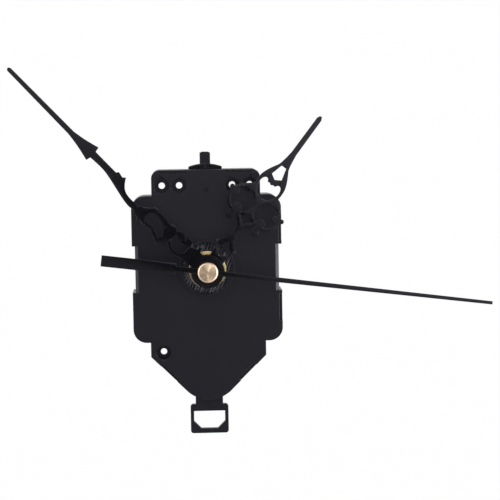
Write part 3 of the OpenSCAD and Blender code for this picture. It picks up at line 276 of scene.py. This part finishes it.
strength = recipe.math("MAXIMUM", recipe.math("MAXIMUM", tent, even), clear)
ambient = recipe.add("ShaderNodeBackground", {"Color": (1, 1, 1, 1), "Strength": strength})
recipe.add("ShaderNodeOutputWorld", {"Surface": ambient.outputs[0]})
bpy.context.scene.view_settings.view_transform = "Standard"
print("tent with panels of", PANEL_RIGHT, "and", PANEL_LEFT)

# %% [markdown]
# Three square lamps help the tent. The one above lights the front softly. The two at the sides
# draw the thin light lines along the edges and in the knurling. Each is given by its place and
# width in metres and its power in watts, and is turned to face the middle of the part.

# %% Lamps
LAMPS = {"lamp_above": ((-0.1, -0.6, 0.9), 0.6, 3.0),
         "lamp_right": ((0.72, -0.2, -0.28), 0.3, 8.0),
         "lamp_left": ((-0.7, -0.2, 0.3), 0.3, 2.4)}

for name, (place, width, power) in LAMPS.items():
    lamp = bpy.data.lights.new(name, "AREA")
    lamp.shape = "SQUARE"
    lamp.size = width
    lamp.energy = power
    holder = bpy.data.objects.new(name, lamp)
    bpy.context.scene.collection.objects.link(holder)
    holder.location = place
    holder.rotation_euler = (-Vector(place)).to_track_quat("-Z", "Y").to_euler()
print("lamps:", list(LAMPS))

# %% [markdown]
# ## Finishes
# The case is moulded in black plastic whose tool was spark-eroded: a very fine even grain that
# spreads its shine. Faint flow marks change the tint slowly across the plate. Faces that look
# straight forward from half a millimetre or more behind the front of the plate, such as the
# floor of the small dimple, came from polished parts of the tool and shine more. All patterns
# read the object coordinates, so they stay on the part when it turns.

# %% Case plastic


FINISH = {}


def new_finish(name):
    """Makes a material, keeps it in FINISH and returns its recipe."""
    FINISH[name] = bpy.data.materials.new(name)
    return Recipe(FINISH[name])


def surface(recipe, inputs):
    skin = recipe.add("ShaderNodeBsdfPrincipled", inputs)
    recipe.add("ShaderNodeOutputMaterial", {"Surface": skin.outputs[0]})


GRAIN_SCALE, GRAIN_DEPTH, FLOW_SCALE, SHINE_SCALE = 9000, 0.01 * MM, 60, 500
SUNK_FROM, SUNK_FULL, SUNK_LAST, SUNK_END = 0.3 * MM, 0.55 * MM, 6 * MM, 7 * MM
FORWARD_FROM, FORWARD_FULL, POLISHED = -0.8, -0.95, 0.2

recipe = new_finish("case_plastic")
grain = recipe.noise(GRAIN_SCALE, 2.0)
flow = recipe.noise(FLOW_SCALE)
tint = recipe.blend(flow, (0.0035, 0.0035, 0.006, 1), (0.005, 0.005, 0.008, 1))
shine = recipe.uneven(recipe.noise(SHINE_SCALE, 4.0), 0.34, 0.44)
depth = recipe.parts(recipe.here())["Y"]
facing = recipe.parts(recipe.add("ShaderNodeNewGeometry").outputs["Normal"])["Y"]
sunk = recipe.math("MULTIPLY", recipe.ramp(depth, SUNK_FROM, SUNK_FULL),
                   recipe.ramp(depth, SUNK_END, SUNK_LAST))
sunk = recipe.math("MULTIPLY", sunk, recipe.ramp(facing, FORWARD_FROM, FORWARD_FULL))
surface(recipe, {
    "Base Color": tint, "Roughness": recipe.ramp(sunk, 0.0, 1.0, shine, POLISHED),
    "Specular IOR Level": 0.38, "Specular Tint": (0.88, 0.87, 1.0, 1),
    "Normal": recipe.bump(grain, GRAIN_DEPTH, 0.35)})
print("case plastic ready")

# %% [markdown]
# The hands are stamped from thin aluminium sheet and lacquered black. Their faces are smoother
# than the case and look deeper black. A slight unevenness of the lacquer breaks up the shine.

# %% Hand lacquer
RIPPLE_SCALE, RIPPLE_DEPTH = 700, 0.002 * MM
recipe = new_finish("hand_lacquer")
ripple = recipe.noise(RIPPLE_SCALE)
tint = recipe.blend(recipe.noise(90, 2.0), (0.001, 0.001, 0.0015, 1), (0.002, 0.002, 0.003, 1))
surface(recipe, {
    "Base Color": tint, "Roughness": recipe.uneven(ripple, 0.06, 0.09),
    "Specular IOR Level": 0.5, "Specular Tint": (0.88, 0.84, 1.0, 1),
    "Normal": recipe.bump(ripple, RIPPLE_DEPTH, 0.1)})
print("hand lacquer ready")

# %% [markdown]
# Brass and the rose-gold cap are turned on a lathe. Turning leaves marks in rings around the
# stem axis, so the finish reads the distance from the axis, and its shine is drawn out across
# the rings, which gives the light and dark fans on the cap. Steel and copper are brushed
# instead, with noise stretched along one direction.

# %% Metals
RING_SCALE, RING_DEPTH = 5200, 0.003 * MM
BRUSH_SCALE, BRUSH_STRETCH, BRUSH_DEPTH = 1500, 0.06, 0.005 * MM


def turned_metal(name, low, high, rough, streak):
    """Metal between the colours low and high, with shine drawn out by streak."""
    recipe = new_finish(name)
    split = recipe.parts(recipe.here())
    flat = recipe.add("ShaderNodeCombineXYZ", {"X": split["X"], "Y": 0.0, "Z": split["Z"]})
    distance = recipe.add("ShaderNodeVectorMath", {0: flat.outputs[0]}, operation="LENGTH")
    rings = recipe.noise(RING_SCALE, 2.0, vector=recipe.add("ShaderNodeCombineXYZ", {
        "X": distance.outputs["Value"], "Y": 0.0, "Z": 0.0}).outputs[0])
    spots = recipe.noise(900)
    around = recipe.add("ShaderNodeTangent", direction_type="RADIAL", axis="Y").outputs[0]
    surface(recipe, {
        "Base Color": recipe.blend(recipe.uneven(spots), low, high), "Metallic": 1.0,
        "Roughness": recipe.uneven(rings, *rough), "Anisotropic": streak, "Tangent": around,
        "Normal": recipe.bump(rings, RING_DEPTH, 0.5)})


def brushed_metal(name, low, high, rough):
    """Metal between the colours low and high, with fine lines along X."""
    recipe = new_finish(name)
    lines = recipe.noise(BRUSH_SCALE, vector=recipe.place(scale=(BRUSH_STRETCH, 1, 1)))
    surface(recipe, {
        "Base Color": recipe.blend(recipe.noise(400), low, high), "Metallic": 1.0,
        "Roughness": recipe.uneven(lines, *rough),
        "Normal": recipe.bump(lines, BRUSH_DEPTH, 0.4)})


turned_metal("brass", (0.58, 0.45, 0.19, 1), (0.66, 0.53, 0.26, 1), (0.2, 0.34), 0.5)
turned_metal("rose_gold", (0.60, 0.45, 0.32, 1), (0.67, 0.51, 0.37, 1), (0.40, 0.48), 0.9)
brushed_metal("steel", (0.52, 0.53, 0.55, 1), (0.62, 0.63, 0.65, 1), (0.25, 0.4))
brushed_metal("copper", (0.50, 0.19, 0.08, 1), (0.60, 0.26, 0.12, 1), (0.25, 0.4))
print("metals ready")

# %% [markdown]
# The wheels, the bobbins and the gear plate are natural white acetal, a slightly waxy plastic.
# The magnets are grey ferrite, the leads have red insulation and a black blob covers the chip.
# One function makes all four: patches of two close colours, an uneven shine and a fine grain.

# %% Moulded finishes


def moulded(name, low, high, rough, scale):
    """Plastic or ferrite between the colours low and high, in patches of a given scale."""
    recipe = new_finish(name)
    patches = recipe.noise(scale)
    specks = recipe.noise(scale * 8)
    surface(recipe, {
        "Base Color": recipe.blend(patches, low, high),
        "Roughness": recipe.uneven(specks, *rough),
        "Normal": recipe.bump(recipe.noise(6000, 2.0), GRAIN_DEPTH, 0.4)})


moulded("white_plastic", (0.72, 0.71, 0.66, 1), (0.8, 0.79, 0.74, 1), (0.35, 0.5), 120)
moulded("magnet", (0.05, 0.05, 0.055, 1), (0.09, 0.09, 0.1, 1), (0.45, 0.6), 900)
moulded("lead_insulation", (0.3, 0.015, 0.015, 1), (0.38, 0.03, 0.025, 1), (0.35, 0.5), 400)
moulded("chip_epoxy", (0.008, 0.008, 0.009, 1), (0.016, 0.016, 0.018, 1), (0.15, 0.3), 300)
print("moulded finishes ready")

# %% [markdown]
# The circuit boards have green lacquer over copper tracks. The lacquer stands a little higher
# over a track and looks lighter there. A brick pattern, turned to face the front, gives the
# straight runs of the tracks.

# %% Board
TRACK_SCALE, TRACK_WIDTH, TRACK_DEPTH = 420.0, 0.03, 0.03 * MM
recipe = new_finish("board")
tracks = recipe.add("ShaderNodeTexBrick", {
    "Vector": recipe.place(turn=(math.pi / 2, 0, 0)), "Scale": TRACK_SCALE,
    "Mortar Size": TRACK_WIDTH, "Mortar Smooth": 0.1, "Color1": (0, 0, 0, 1),
    "Color2": (0, 0, 0, 1), "Mortar": (1, 1, 1, 1)}).outputs["Color"]
surface(recipe, {
    "Base Color": recipe.blend(tracks, (0.02, 0.13, 0.055, 1), (0.05, 0.24, 0.1, 1)),
    "Roughness": recipe.uneven(recipe.noise(800), 0.3, 0.42),
    "Normal": recipe.bump(tracks, TRACK_DEPTH, 0.5)})
print(len(FINISH), "finishes:", ", ".join(FINISH))

# %% [markdown]
# ## Finish every solid
# Each solid names its material slot in the record. Giving the finish by slot keeps the solids
# and the pieces made below in step.

# %% Finish every solid
SLOT = {part["node"]: part["material_slot"] for part in frame["record"]["subparts"]}
BODY = {node: body for body, nodes in frame["record"]["behaviour"]["bodies"].items()
        for node in nodes}
for node, solid in frame["nodes"].items():
    solid.data.materials.clear()
    solid.data.materials.append(FINISH[SLOT[node]])
print({slot: list(SLOT.values()).count(slot) for slot in FINISH})

# %% [markdown]
# ## Pieces
# A piece made here takes the place of one solid. It is shaded smooth except at its sharp edges.
# On a rounded piece the large faces weigh more in the shading than the narrow bevels, so they
# stay level. The floors inside the case have long thin faces, over which smooth shading would
# draw dark lines, so each of those faces is shaded flat.

# %% A piece for a solid


def floor_inside(face):
    """Says whether a face is a floor between the front plate and the rear wall."""
    return abs(face.normal.y) > 0.99 and 0.5 * MM < face.center.y < 15 * MM


def finish_piece(bm, name, node, smooth=33, even=False):
    """Makes an object of bm that stands for node and moves with its body."""
    mesh = bpy.data.meshes.new(name)
    bm.to_mesh(mesh)
    bm.free()
    piece = bpy.data.objects.new(name, mesh)
    bpy.context.scene.collection.objects.link(piece)
    mesh.materials.append(FINISH[SLOT[node]])
    mesh.shade_smooth()
    mesh.set_sharp_from_angle(angle=math.radians(smooth))
    if even:
        for face in mesh.polygons:
            face.use_smooth = not floor_inside(face)
        piece.modifiers.new("even_shine", "WEIGHTED_NORMAL").keep_sharp = True
    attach(piece, BODY[node])
    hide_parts(node)


print("pieces can be made for", len(SLOT), "solids")

# %% [markdown]
# ## Rounded edges
# No moulded or stamped edge is perfectly sharp: a radius of a tenth of a millimetre draws the
# light lines that make black parts readable. A copy of the solid's mesh is cleaned first, by
# merging its doubled points and joining the triangles of each flat face. A face with a hole in
# it is then cut into simple pieces, or the bevel would close the hole. Then each sharp edge gets
# a small bevel. Loop slide is off, because it lets a bevel run along the long thin triangles of
# a plate and fold them over.

# %% Clean and round
SLIVER, FLAT_WITHIN, SHARP_FROM = 0.001, 0.3, 28


def clean_copy(node, merge):
    """The solid's mesh with its doubled points merged and its flat faces in a few pieces."""
    bm = bmesh.new()
    bm.from_mesh(frame["nodes"][node].data)
    bmesh.ops.remove_doubles(bm, verts=bm.verts, dist=merge * MM)
    bmesh.ops.dissolve_degenerate(bm, edges=bm.edges, dist=SLIVER * MM)
    bmesh.ops.dissolve_limit(bm, angle_limit=math.radians(FLAT_WITHIN), verts=bm.verts,
                             edges=bm.edges)
    bmesh.ops.connect_verts_concave(bm, faces=bm.faces)
    return bm


def rounded_piece(name, node, radius, keep=lambda edge: True, merge=0.002):
    """A copy of node with a bevel of radius mm on each sharp edge for which keep says yes."""
    bm = clean_copy(node, merge)
    sharp = [e for e in bm.edges
             if e.is_manifold and e.calc_face_angle() > math.radians(SHARP_FROM) and keep(e)]
    count = len(sharp)
    bmesh.ops.bevel(bm, geom=sharp, offset=radius * MM, offset_type="OFFSET", affect="EDGES",
                    segments=2, profile=0.5, material=-1, clamp_overlap=False,
                    loop_slide=False)
    open_edges = sum(not e.is_manifold for e in bm.edges)
    print(f"{name}: {count} edges rounded by {radius} mm, {len(bm.faces)} faces,",
          open_edges, "open edges")
    finish_piece(bm, name, node, even=True)


print("rounding ready")

# %% [markdown]
# The front cover is rounded on the front side of its plate and the back case on its rear side,
# where the light falls. Their ribs and seats inside stay sharp, as nobody sees them. The
# knurled field around the stem stays sharp too: its ridges are only a third of a millimetre
# high, and a bevel would take too much of them.

# %% Rounded copies
PLATE_DEPTH, KNURL_RADIUS, KNURL_DEPTH, REAR_SIDE = 0.4, 9.2, 0.2, 15.3


def plate_edge(edge):
    """On the front side of the plate, and not in the knurling."""
    middle = (edge.verts[0].co + edge.verts[1].co) / 2
    knurled = (math.hypot(middle.x, middle.z) < KNURL_RADIUS * MM
               and middle.y < KNURL_DEPTH * MM)
    return middle.y < PLATE_DEPTH * MM and not knurled


def rear_edge(edge):
    """On the rear side of the case."""
    return (edge.verts[0].co.y + edge.verts[1].co.y) / 2 > REAR_SIDE * MM


rounded_piece("case_front", "front_cover", 0.12, plate_edge)
rounded_piece("case_back", "back_case", 0.15, rear_edge)
rounded_piece("hanger", "wall_hanger", 0.1)
rounded_piece("pendulum_frame", "pendulum_arm", 0.12)
rounded_piece("hour_pointer", "hour_hand", 0.1, merge=0.03)
rounded_piece("minute_pointer", "minute_hand", 0.1)
rounded_piece("second_pointer", "second_hand", 0.1)
rounded_piece("turn_knob", "set_knob", 0.08)

# %% [markdown]
# ## Stem
# The stem is a brass bush with a fine thread over its whole front length. One ridge of the
# thread, a blunt triangle, is spun around the axis while it is moved along it, which is how a
# screw tool works. The bush under it is a plain profile of (radius, y), spun once around.

# %% Spinning


def spun(bm, points, turns=1, pitch=0.0, steps=64):
    """Spins a profile of (radius, y) points in mm around the stem axis."""
    verts = [bm.verts.new((r * MM, y * MM, 0)) for r, y in points]
    edges = [bm.edges.new(pair) for pair in zip(verts, verts[1:])]
    bmesh.ops.spin(bm, geom=verts + edges, cent=(0, 0, 0), axis=(0, 1, 0),
                   dvec=(0, pitch * MM / steps, 0), angle=math.tau * turns,
                   steps=steps * turns, use_merge=pitch == 0)
    bmesh.ops.recalc_face_normals(bm, faces=bm.faces)


print("spinning ready")

# %% Threaded stem
CORE, CREST, BORE, PITCH = 3.62, 4.0, 2.57, 0.75
SHOULDER, FLANGE, FLANGE_FRONT = 0.4, 6, 1.6
EDGE, BORE_EDGE = 0.1, 0.15
RIDGE_FOOT, RIDGE_TOP, SLOPE, FLAT = CORE - 0.05, CREST - 0.03, 0.3, 0.06
THREAD_START, THREAD_END = 0.2, -0.3

bush_low, bush_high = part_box("threaded_bush")
front, rear = bush_low.y / MM, bush_high.y / MM
bm = bmesh.new()
spun(bm, [(BORE, front + BORE_EDGE), (BORE + BORE_EDGE, front), (CORE - EDGE, front),
          (CORE, front + EDGE), (CORE, SHOULDER), (CREST, SHOULDER + EDGE),
          (CREST, FLANGE_FRONT), (FLANGE, FLANGE_FRONT), (FLANGE, rear), (BORE, rear),
          (BORE, front + BORE_EDGE)])
thread = bmesh.new()
turns = int((THREAD_END - front) / PITCH)
spun(thread, [(RIDGE_FOOT, 0), (RIDGE_TOP, SLOPE), (RIDGE_TOP, SLOPE + FLAT),
              (RIDGE_FOOT, 2 * SLOPE + FLAT)], turns=turns, pitch=PITCH)
bmesh.ops.translate(thread, verts=thread.verts, vec=(0, (front + THREAD_START) * MM, 0))
bmesh.ops.holes_fill(thread, edges=[e for e in thread.edges if e.is_boundary])
thread_mesh = bpy.data.meshes.new("thread")
thread.to_mesh(thread_mesh)
thread.free()
bm.from_mesh(thread_mesh)
finish_piece(bm, "stem", "threaded_bush")
print("stem with", turns, "turns of thread, pitch", PITCH, "mm")

# %% [markdown]
# ## Nut
# The nut starts as a flat ring with a round bore. The ring is given its height, six planes cut
# it to a hexagon, and its corners are cut back by a cone at both ends.

# %% Nut
NUT_BORE, NUT_STEPS, SIDES = 4.05 * MM, 72, 6
CHAMFER, CONE = 0.45 * MM, 0.58

nut_low, nut_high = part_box("hex_nut")
nut_flat = (nut_high.x - nut_low.x) / 2
nut_height = nut_high.y - nut_low.y
bm = bmesh.new()
for radius in (nut_high.z, NUT_BORE):
    bmesh.ops.create_circle(bm, cap_ends=False, segments=NUT_STEPS, radius=radius)
bmesh.ops.bridge_loops(bm, edges=bm.edges)
lifted = bmesh.ops.extrude_face_region(bm, geom=bm.faces)["geom"]
bmesh.ops.translate(bm, verts=[v for v in lifted if isinstance(v, bmesh.types.BMVert)],
                    vec=(0, 0, nut_height))
for corner in range(SIDES):
    turned = math.tau * corner / SIDES
    outward = Vector((math.cos(turned), math.sin(turned), 0))
    cut = bmesh.ops.bisect_plane(bm, geom=bm.verts[:] + bm.edges[:] + bm.faces[:],
                                 plane_co=outward * nut_flat, plane_no=outward,
                                 clear_outer=True)
    bmesh.ops.holes_fill(bm, edges=[e for e in cut["geom_cut"]
                                    if isinstance(e, bmesh.types.BMEdge)])
for vert in bm.verts:
    over = math.hypot(vert.co.x, vert.co.y) - nut_flat
    if over > 0:
        push = min(over * CONE, CHAMFER)
        vert.co.z += -push if vert.co.z > nut_height / 2 else push
bmesh.ops.rotate(bm, verts=bm.verts, cent=(0, 0, 0), matrix=Matrix.Rotation(math.pi / 2, 3, "X"))
bmesh.ops.translate(bm, verts=bm.verts, vec=(0, nut_high.y, 0))
bmesh.ops.recalc_face_normals(bm, faces=bm.faces)
print("nut:", len(bm.faces), "faces,", round(2 * nut_flat / MM, 1), "mm across flats")
finish_piece(bm, "nut", "hex_nut", smooth=20)

# %% [markdown]
# ## Washer and cap
# The washer is a spun rectangle with soft outer corners. The cap of the second hand is spun
# too: a slightly domed face, a bevel around it that takes the light, and a straight wall.

# %% Washer


def corner_arc(centre, radius, start, steps=3):
    """A quarter of a circle in (radius, y), from start degrees on."""
    angles = [math.radians(start + 90 * i / steps) for i in range(steps + 1)]
    return [(centre[0] + radius * math.cos(a), centre[1] + radius * math.sin(a)) for a in angles]


WASHER_BORE, SOFT = 4.1, 0.12
washer_low, washer_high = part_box("brass_washer")
y0, y1, rim = washer_low.y / MM, washer_high.y / MM, washer_high.x / MM
bm = bmesh.new()
spun(bm, [(WASHER_BORE, y0), *corner_arc((rim - SOFT, y0 + SOFT), SOFT, -90),
          *corner_arc((rim - SOFT, y1 - SOFT), SOFT, 0), (WASHER_BORE, y1), (WASHER_BORE, y0)])
print("washer:", len(bm.faces), "faces")
finish_piece(bm, "washer", "brass_washer")

# %% Cap
BEVEL, DOME, BREAK, FOOT, CAP_STEPS = 0.5, 0.02, 0.06, 0.08, 96
cap_low, cap_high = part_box("second_hand_cap")
y0, y1, rim = cap_low.y / MM, cap_high.y / MM, cap_high.x / MM
bm = bmesh.new()
spun(bm, [(0, y0), (rim - BEVEL - EDGE, y0 + DOME), (rim - BEVEL, y0 + BREAK),
          (rim - BREAK, y0 + BEVEL), (rim, y0 + BEVEL + SOFT), (rim, y1 - FOOT),
          (rim - FOOT, y1), (0, y1)], steps=CAP_STEPS)
bmesh.ops.remove_doubles(bm, verts=bm.verts, dist=SLIVER * MM)
print("cap:", len(bm.faces), "faces")
finish_piece(bm, "cap", "second_hand_cap")
